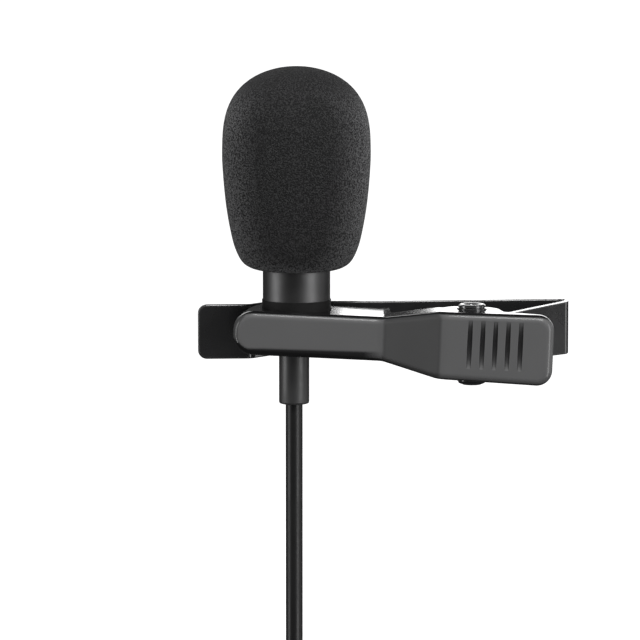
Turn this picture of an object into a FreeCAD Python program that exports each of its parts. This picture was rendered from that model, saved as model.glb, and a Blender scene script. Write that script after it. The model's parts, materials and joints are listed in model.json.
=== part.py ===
"""Lavalier microphone: capsule tube in a spring clip, foam windscreen and a 1.5 m lead with its plug.

Millimetres. +X runs along the clip from the jaws to the thumb pads, -Y is the clip's front and +Z is up
along the microphone. The origin is in the plane where the jaws close, level with the middle of the rear
jaw: cloth is gripped there.
"""
import FreeCAD, Part
import math
import os

V = FreeCAD.Vector
UP = V(0, 0, 1)

# Microphone tube, on a vertical axis at X = 0
MIC_Y = -5.05
MIC_R = 4.15
MIC_WALL = 0.4
MIC_FOOT = -1.15
MIC_TOP = 14.2
CAP_TOP = 15.2
COLLAR_R = 4.25
COLLAR_LOW = 2.1
COLLAR_TOP = 4.3
RUNNING_GAP = 0.05

# Capsule can
CAN_R = 3.0
CAN_TOP = 12.4
CAN_LOW = 9.4
CAN_WALL = 0.2
WIRE_END = 8.6

# Foam windscreen
FOAM_R = 9.12
FOAM_BOTTOM = 8.0
FOAM_WAIST = 21.7
FOAM_TOP = 33.0
FOAM_BORE_END = 17.0
FOAM_SIDE_POWER = 2.0
FOAM_RISE_POWER = 3.2

# Clip sheet metal
SHEET = 0.7
CANT = 2.3
ARM_DROP = -0.4
PIN_X = 21.4
PIN_Y = -11.2
PIN_R = 0.9
EAR_R = 2.75
JAW_HALF = 2.72
PAD_HALF = 4.34
PAD_START_HALF = 4.12
EAR_HALF = 4.19
SEAT_DEPTH = 0.1
NOSE_X = -7.75
PAD_END_X = 31.12
FACE_LINE = [(NOSE_X, -10.3), (10.35, -11.3), (17.7, -15.5), (PAD_END_X, -16.7)]
FACE_BEND = 3.0
FACE_ROUND = 0.9
GROOVES = 5
GROOVE_FIRST_X = 20.98
GROOVE_PITCH = 1.53
GROOVE_LENGTH = 5.95
GROOVE_WIDTH = 0.6
GROOVE_FLOOR = 0.48
GROOVE_DEPTH = 0.48
GROOVE_LEAN = 0.3
GROOVE_RISE = 0.4

# Rear strip of the clip
STRIP = 0.75
STRIP_EDGE = 0.2
STRIP_HALF = 3.38
FOLD = (35.25, 3.35)
KNUCKLE_HALF = 2.65
KNUCKLE_TALL = 1.2

# Torsion spring
WIRE = 0.45
COIL_R = 1.325
COIL_PITCH = 0.48
LEAF_LEG_ANGLE = 64
PAD_LEG_ANGLE = -35

# Holder ring and grip sleeve
SLEEVE_R = MIC_R + RUNNING_GAP
SLEEVE_OUT = SLEEVE_R + 0.3
RING_R = SLEEVE_OUT + RUNNING_GAP
RING_OUT = RING_R + 0.35
RING_LOW = -0.95
RING_HIGH = 1.85

# Lead and plug
CABLE_R = 1.05
RELIEF_R = 1.87
RELIEF_END = -8.65
LEAD_X = -0.3
LEAD_ROUTE = [(LEAD_X, RELIEF_END), (LEAD_X, -44.0), (2.2, -48.33), (6.53, -50.83), (11.7, -50.83)]
LAYERS = 5
PANCAKES = 4
TURN_PITCH = 2.1
COIL_INNER = 7.0
COIL_OUTER = COIL_INNER + TURN_PITCH * (LAYERS - 1)
COIL_X = 9.2
COIL_Z = LEAD_ROUTE[-1][1] - COIL_OUTER
TAIL_TOP = COIL_Z - 7.6
TAIL_LENGTH = 19.0
PLUG_X = COIL_X + COIL_OUTER
PLUG_TOP = TAIL_TOP - TAIL_LENGTH
PLUG_R = 1.75


def cylinder(radius, low, high, x=0.0, y=MIC_Y):
    return Part.makeCylinder(radius, high - low, V(x, y, low))


def sleeve(outer, inner, low, high, x=0.0, y=MIC_Y):
    return cylinder(outer, low, high, x, y).cut(cylinder(inner, low - 1, high + 1, x, y))


def turned(profile, x=0.0, y=MIC_Y):
    """Solid of revolution about the vertical line at x, y; profile holds (radius, height) corners."""
    points = [V(x + radius, y, height) for radius, height in profile]
    face = Part.Face(Part.makePolygon(points + points[:1]))
    return face.revolve(V(x, y, 0), UP, 360)


def corner_arc(before, here, after, radius):
    """Start, middle and end of the arc that rounds the corner here."""
    back = (before - here).normalize()
    ahead = (after - here).normalize()
    half = back.getAngle(ahead) / 2
    reach = radius / math.tan(half)
    middle = here + (back + ahead).normalize() * (radius / math.sin(half) - radius)
    return here + back * reach, middle, here + ahead * reach


def outline(corners, place):
    """Closed face from (u, v, radius) corners; place turns u, v into a point."""
    points = [place(u, v) for u, v, radius in corners]
    count = len(points)
    edges = []
    first = last = None
    for i, (u, v, radius) in enumerate(corners):
        here = points[i]
        start, middle, end = here, None, here
        if radius > 0:
            start, middle, end = corner_arc(points[i - 1], here, points[(i + 1) % count], radius)
        if last is None:
            first = start
        elif last.distanceToPoint(start) > 1e-5:
            edges.append(Part.LineSegment(last, start).toShape())
        if middle is not None:
            edges.append(Part.Arc(start, middle, end).toShape())
        last = end
    if last.distanceToPoint(first) > 1e-5:
        edges.append(Part.LineSegment(last, first).toShape())
    return Part.Face(Part.Wire(edges))


def open_path(points, radii):
    """Straight runs joined by tangent arcs, one radius for each inner point."""
    edges = []
    last = points[0]
    for i, radius in enumerate(radii, start=1):
        start, middle, end = corner_arc(points[i - 1], points[i], points[i + 1], radius)
        if last.distanceToPoint(start) > 1e-5:
            edges.append(Part.LineSegment(last, start).toShape())
        edges.append(Part.Arc(start, middle, end).toShape())
        last = end
    edges.append(Part.LineSegment(last, points[-1]).toShape())
    return Part.Wire(edges)


def on_plan(u, v):
    return V(u, v, 0)


def on_side(u, v):
    return V(u, 0, v)


def plan_prism(corners, half_height):
    face = outline(corners, on_plan)
    face.translate(V(0, 0, -half_height))
    return face.extrude(V(0, 0, 2 * half_height))


def side_prism(corners, front, rear):
    face = outline(corners, on_side)
    face.translate(V(0, front, 0))
    return face.extrude(V(0, rear - front, 0))


# ---- front arm -------------------------------------------------------------------------------------

def face_y(x):
    for (x0, y0), (x1, y1) in zip(FACE_LINE, FACE_LINE[1:]):
        if x <= x1:
            return y0 + (y1 - y0) * (x - x0) / (x1 - x0)
    return FACE_LINE[-1][1]


def shifted_face(depth):
    """The face line moved back into the channel by the sheet's thickness."""
    normals = []
    for (x0, y0), (x1, y1) in zip(FACE_LINE, FACE_LINE[1:]):
        normals.append(V(y0 - y1, x1 - x0, 0).normalize())
    normals = [normals[0]] + normals + [normals[-1]]
    line = []
    for (x, y), before, after in zip(FACE_LINE, normals, normals[1:]):
        mitre = (before + after) * (depth / (1 + before.dot(after)))
        line.append((x + mitre.x, y + mitre.y))
    return line


def side_corners(inset):
    """Outline of the arm seen from the front, shrunk by inset."""
    jaw = JAW_HALF - inset
    pad = PAD_HALF - inset
    upper = [(PAD_END_X - inset, pad, 1.9 - inset), (17.2, PAD_START_HALF - inset, 4.0),
             (10.6, jaw, 4.0), (NOSE_X + inset, jaw, 2.5 - inset)]
    lower = [(x, -z, radius) for x, z, radius in reversed(upper)]
    return upper + lower


def flange_rear():
    """Rear edge of the flanges, from the pad's end to the nose: rim, ear, notch, hook, teeth, nose."""
    return [(PAD_END_X, -15.6, 0), (29.5, -15.2, 1.0), (25.0, -13.2, 0.6),
            (PIN_X + EAR_R, PIN_Y + EAR_R, 2.6), (PIN_X - EAR_R, PIN_Y + EAR_R, 2.6),
            (PIN_X - 3.6, -10.4, 0.4), (11.5, -7.4, 0.5), (11.2, -0.5, 0.55), (9.5, -0.15, 0.3),
            (7.65, -2.3, 0.3), (6.15, -0.15, 0.2), (5.1, -1.4, 0.3), (4.0, -0.15, 0.2),
            (-2.4, -0.2, 0.3), (-4.9, -3.2, 0.3), (-6.4, -8.1, 0.4), (NOSE_X, -8.6, 0)]


def channel_outside():
    face = [(x, y, FACE_BEND if 0 < i < 3 else 0) for i, (x, y) in enumerate(FACE_LINE)]
    body = plan_prism(face + flange_rear(), 6).common(side_prism(side_corners(0), -20, 3))
    rim = []
    for edge in body.Edges:
        middle = edge.valueAt((edge.FirstParameter + edge.LastParameter) / 2)
        ends = [vertex.Point for vertex in edge.Vertexes]
        near = all(abs(point.y - face_y(point.x)) < 0.25 for point in ends + [middle])
        bend = all(8 < point.x < 20 for point in ends) and abs(ends[0].z - ends[-1].z) > 3
        if near and not bend:
            rim.append(edge)
    return body.makeFillet(FACE_ROUND, rim)


def channel_inside():
    line = shifted_face(SHEET)
    (x0, y0), (x3, y3) = line[0], line[3]
    corners = [(x0 - 2, y0, 0)]
    corners += [(x, y, FACE_BEND) for x, y in line[1:3]]
    corners += [(x3 + 2, y3, 0), (x3 + 2, 2, 0), (x0 - 2, 2, 0)]
    return plan_prism(corners, 6).common(side_prism(side_corners(SHEET), -20, 3))


def groove_cutter(index):
    """Shallow groove with tapering ends: the rim of a large thin wheel pressed into the pad."""
    radius = ((GROOVE_LENGTH / 2) ** 2 + GROOVE_DEPTH ** 2) / (2 * GROOVE_DEPTH)
    lip = GROOVE_WIDTH / 2
    flat = GROOVE_FLOOR / 2
    profile = [(-lip, 0), (-lip, radius - GROOVE_DEPTH), (-flat, radius), (flat, radius),
               (lip, radius - GROOVE_DEPTH), (lip, 0)]
    points = [V(x, 0, z) for x, z in profile]
    wheel = Part.Face(Part.makePolygon(points + points[:1])).revolve(V(0, 0, 0), V(1, 0, 0), 360)
    x = GROOVE_FIRST_X + GROOVE_PITCH * index
    slope = math.atan2(FACE_LINE[3][1] - FACE_LINE[2][1], FACE_LINE[3][0] - FACE_LINE[2][0])
    outward = V(math.sin(slope), -math.cos(slope), 0)
    wheel.rotate(V(0, 0, 0), V(0, 1, 0), GROOVE_LEAN)
    wheel.rotate(V(0, 0, 0), UP, math.degrees(slope))
    wheel.translate(V(x, face_y(x), GROOVE_RISE) + outward * (radius - GROOVE_DEPTH))
    return wheel


def set_arm(shape):
    """Tilt the arm, nose up, about the pivot and drop it to its height."""
    shape.rotate(V(PIN_X, 0, 0), V(0, 1, 0), CANT)
    shape.translate(V(0, 0, ARM_DROP))
    return shape


def make_front_arm():
    arm = channel_outside().cut(channel_inside())
    for index in range(GROOVES):
        arm = arm.cut(groove_cutter(index))
    arm = set_arm(arm)
    seat_top = ARM_DROP + EAR_HALF - SEAT_DEPTH
    seat_low = ARM_DROP - EAR_HALF + SEAT_DEPTH
    arm = arm.cut(cylinder(PIN_R, -8, 8, PIN_X, PIN_Y))
    arm = arm.cut(cylinder(EAR_R - 0.85, seat_top, 8, PIN_X, PIN_Y))
    arm = arm.cut(cylinder(EAR_R - 0.85, -8, seat_low, PIN_X, PIN_Y))
    arm = arm.cut(cylinder(MIC_R + 0.15, 0, 8))
    return arm.cut(cylinder(RELIEF_R - LEAD_X + 0.28, -8, 0))


# ---- rear arm --------------------------------------------------------------------------------------

def leaf_frame():
    """Direction of the leaf from the pivot to the fold, and its normal on the jaw side."""
    reach = V(FOLD[0] - PIN_X, FOLD[1] - PIN_Y, 0)
    offset = PIN_R + RUNNING_GAP + SHEET / 2
    angle = math.atan2(reach.y, reach.x) - math.asin(offset / reach.Length)
    along = V(math.cos(angle), math.sin(angle), 0)
    return along, V(-along.y, along.x, 0), offset


def make_rear_strip():
    along, normal, offset = leaf_frame()
    leaf_end = V(PIN_X, PIN_Y, 0) + normal * offset + along * 0.2
    points = [V(-12.2, -3.05, 0), V(-5.75, -2.65, 0), V(-3.1, 0.5, 0), V(9.5, 0.72, 0),
              V(FOLD[0], FOLD[1], 0), leaf_end]
    path = open_path(points, [1.3, 1.3, 12.0, 0.95])
    run = (points[1] - points[0]).normalize()
    across = V(-run.y, run.x, 0) * (STRIP / 2)
    rise = V(0, 0, STRIP_HALF)
    corners = [points[0] + across + rise, points[0] + across - rise,
               points[0] - across - rise, points[0] - across + rise]
    section = Part.makePolygon(corners + corners[:1])
    strip = path.makePipeShell([section], True, False)
    rounds = [edge for edge in strip.Edges
              if all(v.Point.x < -11.9 for v in edge.Vertexes) and edge.Length < 1.0]
    strip = strip.makeFillet(1.1, rounds)
    long_edges = [edge for edge in strip.Edges
                  if all(abs(abs(v.Point.z) - STRIP_HALF) < 0.001 for v in edge.Vertexes)
                  and edge.Length > 1.0]
    return strip.makeFillet(STRIP_EDGE, long_edges)


def leaf_taper(side, near, far, reach):
    """Wedge that narrows the leaf on its upper (side 1) or lower (side -1) edge.

    near is the edge's height by the knuckles and far its height at reach from the pivot.
    """
    along, normal, offset = leaf_frame()
    base = V(PIN_X, PIN_Y, 0) + normal * (offset - 1)
    beyond = side * (STRIP_HALF + 2)
    points = [base + along * -2 + V(0, 0, near), base + along * 2.5 + V(0, 0, near),
              base + along * reach + V(0, 0, far), base + along * reach + V(0, 0, beyond),
              base + along * -2 + V(0, 0, beyond)]
    return Part.Face(Part.makePolygon(points + points[:1])).extrude(normal * 2)


def make_back_arm():
    arm = make_rear_strip()
    arm = arm.cut(leaf_taper(1, ARM_DROP + KNUCKLE_HALF, STRIP_HALF, 20))
    arm = arm.cut(leaf_taper(-1, ARM_DROP - KNUCKLE_HALF, -STRIP_HALF, 10))
    low = ARM_DROP - KNUCKLE_HALF
    high = ARM_DROP + KNUCKLE_HALF
    knuckle_r = PIN_R + RUNNING_GAP + SHEET
    arm = arm.fuse(cylinder(knuckle_r, low, high, PIN_X, PIN_Y))
    arm = arm.cut(cylinder(PIN_R + RUNNING_GAP, low - 1, high + 1, PIN_X, PIN_Y))
    arm = arm.cut(cylinder(knuckle_r + 0.35, low + KNUCKLE_TALL, high - KNUCKLE_TALL, PIN_X, PIN_Y))
    seam = Part.makeBox(1.4, 0.12, 12, V(PIN_X + 0.4, PIN_Y - 0.25, -6))
    seam.rotate(V(PIN_X, PIN_Y, 0), UP, 20)
    return arm.cut(seam).removeSplitter()


# ---- pivot -----------------------------------------------------------------------------------------

def make_pivot_rivet():
    top = ARM_DROP + EAR_HALF - SEAT_DEPTH
    low = ARM_DROP - EAR_HALF + SEAT_DEPTH
    profile = [(0, low - 0.95), (1.1, low - 0.95), (1.6, low - 0.75), (1.78, low - 0.4), (1.78, low),
               (PIN_R, low),
               (PIN_R, top), (1.75, top), (1.75, top + 0.22), (1.58, top + 0.28), (1.58, top + 0.36),
               (1.7, top + 0.42), (1.66, top + 0.62), (1.45, top + 0.74), (1.1, top + 0.74),
               (0.85, top + 0.6), (0.62, top + 0.2), (0, top + 0.2)]
    return turned(profile, PIN_X, PIN_Y)


def make_rivet_washers():
    low = ARM_DROP - KNUCKLE_HALF
    high = ARM_DROP + KNUCKLE_HALF
    return Part.Compound([sleeve(1.75, PIN_R + 0.03, high + 0.08, high + 0.58, PIN_X, PIN_Y),
                          sleeve(1.75, PIN_R + 0.03, low - 0.58, low - 0.08, PIN_X, PIN_Y)])


def spring_leg(start, angle, length):
    direction = V(math.cos(math.radians(angle)), math.sin(math.radians(angle)), 0)
    leg = Part.makeCylinder(WIRE / 2, length, start, direction)
    tip = Part.makeSphere(WIRE / 2, start + direction * length)
    return leg.fuse([tip, Part.makeSphere(WIRE / 2, start)])


def make_torsion_spring():
    first = PAD_LEG_ANGLE + 90
    last = LEAF_LEG_ANGLE - 90
    turns = 5 + (last - first) / 360
    height = COIL_PITCH * turns
    low = ARM_DROP - height / 2
    helix = Part.makeHelix(COIL_PITCH, height, COIL_R)
    section = Part.Wire(Part.makeCircle(WIRE / 2, V(COIL_R, 0, 0), V(0, 1, 0)))
    coil = Part.Wire(helix.Edges).makePipeShell([section], True, True)
    coil.rotate(V(0, 0, 0), UP, first)
    coil.translate(V(PIN_X, PIN_Y, low))

    def on_coil(angle, z):
        turn = math.radians(angle)
        return V(PIN_X + COIL_R * math.cos(turn), PIN_Y + COIL_R * math.sin(turn), z)

    pad_leg = spring_leg(on_coil(first, low), PAD_LEG_ANGLE, 7.6)
    leaf_leg = spring_leg(on_coil(last, low + height), LEAF_LEG_ANGLE, 5.5)
    return coil.fuse([pad_leg, leaf_leg])


# ---- microphone holder -----------------------------------------------------------------------------

def make_holder_ring(front_arm):
    ring = sleeve(RING_OUT, RING_R, RING_LOW, RING_HIGH)
    gap = Part.makeBox(6, 3.4, 8, V(2, MIC_Y - 1.7, -4))
    foot = Part.makeBox(3.0, 0.6, RING_HIGH - RING_LOW - 0.6, V(-1.5, MIC_Y - RING_OUT - 0.4, RING_LOW + 0.3))
    return ring.cut(gap).fuse(foot).cut(front_arm)


def make_grip_sleeve():
    body = sleeve(SLEEVE_OUT, SLEEVE_R, RING_LOW, RING_HIGH)
    return body.cut(Part.makeBox(6, 0.8, 8, V(2, MIC_Y - 0.4, -4)))


# ---- microphone ------------------------------------------------------------------------------------

def make_tube_collar():
    return sleeve(COLLAR_R, MIC_R, COLLAR_LOW, COLLAR_TOP)


def make_mic_tube():
    inner = MIC_R - MIC_WALL
    profile = [(inner, MIC_FOOT), (MIC_R - 0.15, MIC_FOOT), (MIC_R, MIC_FOOT + 0.15),
               (MIC_R, MIC_TOP), (inner, MIC_TOP)]
    return turned(profile)


def make_rear_bushing():
    inner = MIC_R - MIC_WALL
    body = cylinder(inner, MIC_FOOT, MIC_FOOT + 1.9)
    return body.cut(cylinder(RELIEF_R, MIC_FOOT - 1, 3, LEAD_X))


def make_strain_relief():
    head = MIC_FOOT + 1.9
    profile = [(CABLE_R, RELIEF_END), (RELIEF_R - 0.25, RELIEF_END), (RELIEF_R - 0.07, RELIEF_END + 0.07),
               (RELIEF_R, RELIEF_END + 0.25), (RELIEF_R, head), (2.5, head), (2.5, head + 0.7),
               (CABLE_R, head + 0.7)]
    return turned(profile, LEAD_X)


def make_cable_core():
    return cylinder(CABLE_R, RELIEF_END, 4.6, LEAD_X)


def make_cable_ferrule():
    profile = [(CABLE_R, 1.9), (1.45, 1.9), (1.45, 2.5), (1.3, 2.6), (1.3, 3.0), (1.45, 3.1),
               (1.45, 3.9), (CABLE_R, 3.9)]
    return turned(profile, LEAD_X)


def make_wire(side):
    points = [V(LEAD_X + 0.45 * side, MIC_Y, 4.6), V(LEAD_X + 0.5 * side, MIC_Y, 5.6),
              V(1.5 * side, MIC_Y + 0.4 * side, 7.0), V(1.3 * side, MIC_Y, WIRE_END)]
    path = open_path(points, [0.8, 0.8])
    section = Part.Wire(Part.makeCircle(0.22, points[0], points[1] - points[0]))
    return path.makePipeShell([section], True, False)


def make_grille_cap():
    inner = MIC_R - MIC_WALL
    profile = [(0, CAP_TOP - 0.4), (inner - 0.35, CAP_TOP - 0.4), (inner - 0.35, MIC_TOP - 1.2),
               (inner, MIC_TOP - 1.2), (inner, MIC_TOP), (MIC_R, MIC_TOP), (MIC_R, CAP_TOP - 0.3),
               (MIC_R - 0.3, CAP_TOP), (0, CAP_TOP)]
    cap = turned(profile)
    holes = [cylinder(0.45, CAP_TOP - 2, CAP_TOP + 1)]
    for ring, count in ((1.3, 6), (2.5, 12)):
        for index in range(count):
            turn = 2 * math.pi * index / count
            x = ring * math.cos(turn)
            y = MIC_Y + ring * math.sin(turn)
            holes.append(cylinder(0.4, CAP_TOP - 2, CAP_TOP + 1, x, y))
    return cap.cut(holes)


def make_electret_can():
    inner = CAN_R - CAN_WALL
    profile = [(1.0, CAN_TOP - CAN_WALL), (inner, CAN_TOP - CAN_WALL), (inner, CAN_LOW), (CAN_R, CAN_LOW),
               (CAN_R, CAN_TOP), (1.0, CAN_TOP)]
    return turned(profile)


def capsule_stack():
    """What lies in the can, from its sound port down: name, outer radius, inner radius, thickness."""
    inner = CAN_R - CAN_WALL
    rows = [("diaphragm_ring", inner, 2.3, 0.3), ("diaphragm", inner, 0, 0.06),
            ("diaphragm_spacer", inner, 2.3, 0.1), ("back_electrode", inner, 0.25, 0.35),
            ("contact_ring", inner, 2.3, 1.3), ("jfet_board", inner, 0, 0.5)]
    top = CAN_TOP - CAN_WALL
    shapes = {}
    for name, outer, bore, thickness in rows:
        low = top - thickness
        shapes[name] = sleeve(outer, bore, low, top) if bore else cylinder(outer, low, top)
        top = low
    return shapes


def make_isolator_ring():
    outer = MIC_R - MIC_WALL
    return turned([(CAN_R, CAN_LOW + 0.2), (outer, CAN_LOW + 0.5), (outer, CAN_TOP - 0.5),
                   (CAN_R, CAN_TOP - 0.2)])


def make_solder_joints():
    board = CAN_TOP - CAN_WALL - 2.61
    return Part.Compound([Part.makeCone(0.26, 0.5, board - WIRE_END, V(1.3 * side, MIC_Y, WIRE_END))
                          for side in (1, -1)])


def make_foam_windscreen():
    """Egg-shaped foam: a squared dome above its widest level, drawn in to a rounded foot below."""
    dome = []
    for step in range(9):
        turn = math.pi / 2 * (1 - step / 8)
        radius = FOAM_R * math.cos(turn) ** (2 / FOAM_SIDE_POWER) if step else 0.0
        rise = math.sin(turn) ** (2 / FOAM_RISE_POWER)
        dome.append((radius, FOAM_WAIST + (FOAM_TOP - FOAM_WAIST) * rise))
    foot = [(8.7, 16.4), (8.04, 12.5), (7.45, 10.4), (6.7, 9.0), (5.75, 8.3), (4.6, FOAM_BOTTOM)]
    points = [V(radius, 0, height) for radius, height in dome + foot]
    curve = Part.BSplineCurve()
    curve.interpolate(Points=points, InitialTangent=V(1, 0, 0), FinalTangent=V(-1, 0, -0.1))
    bore = MIC_R + RUNNING_GAP
    inner = [V(bore, 0, FOAM_BOTTOM), V(bore, 0, FOAM_BORE_END - 1), V(bore - 1, 0, FOAM_BORE_END),
             V(0, 0, FOAM_BORE_END), V(0, 0, FOAM_TOP)]
    edges = [curve.toShape(), Part.LineSegment(points[-1], inner[0]).toShape()]
    edges += [Part.LineSegment(a, b).toShape() for a, b in zip(inner, inner[1:])]
    foam = Part.Face(Part.Wire(edges)).revolve(V(0, 0, 0), UP, 360)
    foam.translate(V(0, MIC_Y, 0))
    return foam


# ---- lead ------------------------------------------------------------------------------------------

def lead_radii(points):
    """Arc radii of a free cord: 0.45 of the shorter run over the tangent of half the turn."""
    radii = []
    for before, here, after in zip(points, points[1:], points[2:]):
        shorter = min((here - before).Length, (after - here).Length)
        turn = (here - before).getAngle(after - here)
        radii.append(0.45 * shorter / math.tan(turn / 2))
    return radii


def make_cable():
    points = [V(x, MIC_Y, z) for x, z in LEAD_ROUTE]
    radii = lead_radii(points)
    path = open_path(points, radii)
    section = Part.Wire(Part.makeCircle(CABLE_R, points[0], points[1] - points[0]))
    tube = path.makePipeShell([section], True, False)
    ratio = tube.Volume / (math.pi * CABLE_R ** 2 * path.Length)
    print("cable radii", [round(radius, 1) for radius in radii], "volume ratio", round(ratio, 4))
    return tube, path.Length


def make_cable_coil():
    low = COIL_INNER - CABLE_R
    high = COIL_OUTER + CABLE_R
    wide = TURN_PITCH * PANCAKES / 2
    corners = [(low, -wide, 0.8), (high, -wide, 0.8), (high, wide, 0.8), (low, wide, 0.8)]
    face = outline(corners, lambda u, v: V(u, v, 0))
    coil = face.revolve(V(0, 0, 0), V(0, 1, 0), 360)
    coil.translate(V(COIL_X, MIC_Y, COIL_Z))
    return coil


def make_cable_tie(coil):
    radial = COIL_OUTER - COIL_INNER + 2 * CABLE_R + 1.2
    deep = TURN_PITCH * PANCAKES + 1.2
    band = Part.makeBox(3.0, deep, radial, V(-1.5, -deep / 2, COIL_INNER - CABLE_R - 0.6))
    band = band.makeFillet(0.5, [edge for edge in band.Edges if abs(edge.Length - 3.0) < 1e-6])
    band.rotate(V(0, 0, 0), V(0, 1, 0), 40)
    band.translate(V(COIL_X, MIC_Y, COIL_Z))
    return band.cut(coil)


def make_cable_tail():
    return cylinder(CABLE_R, PLUG_TOP, TAIL_TOP, PLUG_X)


def plug_pieces():
    """Plug from its boot down to its tip; each row is a name and a (radius, depth) half-section."""
    boot = [(0, 0), (CABLE_R + 0.35, 0), (1.6, 0.4), (2.3, 8.0), (0, 8.0)]
    housing = [(0, 8.0), (2.6, 8.0), (2.9, 8.6), (2.9, 20.4), (2.6, 21.0), (0, 21.0)]
    shapes = {"plug_boot": boot, "plug_housing": housing}
    top = 21.0
    rows = [("plug_collar", 2.45, 0.6), ("plug_sleeve", PLUG_R, 3.4), ("plug_insulator_sleeve", PLUG_R, 0.6),
            ("plug_ring_ground", PLUG_R, 2.1), ("plug_insulator_ring", PLUG_R, 0.6),
            ("plug_ring_right", PLUG_R, 2.1), ("plug_insulator_tip", PLUG_R, 0.6)]
    for name, radius, length in rows:
        shapes[name] = [(0, top), (radius, top), (radius, top + length), (0, top + length)]
        top += length
    shapes["plug_tip"] = [(0, top), (PLUG_R, top), (PLUG_R, top + 0.5), (1.2, top + 1.3), (1.2, top + 1.6),
                          (1.7, top + 2.5), (1.7, top + 2.9), (0.5, top + 4.0), (0, top + 4.0)]
    return {name: turned([(radius, PLUG_TOP - depth) for radius, depth in profile], PLUG_X)
            for name, profile in shapes.items()}


def lead_length(cable_run):
    """Centreline of the whole lead: the free run, the coil's turns and the tail."""
    mean = (COIL_INNER + COIL_OUTER) / 2
    turns = LAYERS * PANCAKES
    return cable_run + 2 * math.pi * mean * turns + TAIL_LENGTH + COIL_OUTER * math.pi / 2


def build():
    front_arm = make_front_arm()
    cable, cable_run = make_cable()
    coil = make_cable_coil()
    shapes = {
        "front_arm": front_arm, "back_arm": make_back_arm(), "pivot_rivet": make_pivot_rivet(),
        "rivet_washers": make_rivet_washers(), "torsion_spring": make_torsion_spring(),
        "holder_ring": make_holder_ring(front_arm), "grip_sleeve": make_grip_sleeve(),
        "mic_tube": make_mic_tube(), "tube_collar": make_tube_collar(), "grille_cap": make_grille_cap(),
        "grille_mesh": cylinder(MIC_R - MIC_WALL - 0.35, CAP_TOP - 0.55, CAP_TOP - 0.4),
        "rear_bushing": make_rear_bushing(), "strain_relief": make_strain_relief(),
        "cable_core": make_cable_core(), "cable_ferrule": make_cable_ferrule(),
        "signal_wire": make_wire(1), "ground_wire": make_wire(-1), "solder_joints": make_solder_joints(),
        "electret_can": make_electret_can(), "isolator_ring": make_isolator_ring(),
        "foam_windscreen": make_foam_windscreen(), "cable": cable, "cable_coil": coil,
        "cable_tie": make_cable_tie(coil), "cable_tail": make_cable_tail(),
    }
    shapes.update(capsule_stack())
    shapes.update(plug_pieces())
    print("lead length", round(lead_length(cable_run), 1))
    return shapes


os.makedirs("parts", exist_ok=True)
for node, shape in build().items():
    shape.exportStep("parts/" + node + ".step")
    box = shape.BoundBox
    print(f"{node:22s} valid {shape.isValid()} solids {len(shape.Solids)} volume {shape.Volume:9.3f}")
    print(f"    x {box.XMin:.2f} {box.XMax:.2f} y {box.YMin:.2f} {box.YMax:.2f} z {box.ZMin:.2f} {box.ZMax:.2f}")
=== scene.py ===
"""Lavalier microphone in a spring clip, dressed round its fixed frame.

The frame gives the tube, the clip, the pivot and the plug. This script finishes their surfaces and makes the
foam windscreen, the torsion spring, the lead with its coil and the strap that ties it. Units are metres.
"""
import json
import logging
import math
from dataclasses import dataclass
from enum import Enum

import bmesh
import bpy
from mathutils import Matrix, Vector, noise


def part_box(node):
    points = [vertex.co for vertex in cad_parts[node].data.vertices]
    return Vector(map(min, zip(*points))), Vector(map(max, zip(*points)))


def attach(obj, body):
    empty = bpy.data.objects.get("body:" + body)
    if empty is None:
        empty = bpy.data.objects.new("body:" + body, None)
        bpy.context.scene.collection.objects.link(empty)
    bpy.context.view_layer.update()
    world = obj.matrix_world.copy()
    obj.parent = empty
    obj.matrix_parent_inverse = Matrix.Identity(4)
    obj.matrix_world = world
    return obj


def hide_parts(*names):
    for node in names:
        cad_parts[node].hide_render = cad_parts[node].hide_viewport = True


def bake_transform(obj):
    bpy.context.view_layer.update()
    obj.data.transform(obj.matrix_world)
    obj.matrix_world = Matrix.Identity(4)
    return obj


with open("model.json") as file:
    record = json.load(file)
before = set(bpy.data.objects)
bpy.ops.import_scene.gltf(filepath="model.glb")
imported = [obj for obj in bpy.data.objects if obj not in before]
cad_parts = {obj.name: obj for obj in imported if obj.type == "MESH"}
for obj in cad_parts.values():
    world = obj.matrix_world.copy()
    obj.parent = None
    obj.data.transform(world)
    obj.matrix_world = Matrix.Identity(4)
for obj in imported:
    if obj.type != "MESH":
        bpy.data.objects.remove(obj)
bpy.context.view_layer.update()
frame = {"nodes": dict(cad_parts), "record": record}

MM = 0.001
TAU = 2 * math.pi
LOG = logging.getLogger("lavalier")

Colour = tuple[float, float, float]
Span = tuple[float, float]


# ---- shader helpers --------------------------------------------------------------------------------

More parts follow.
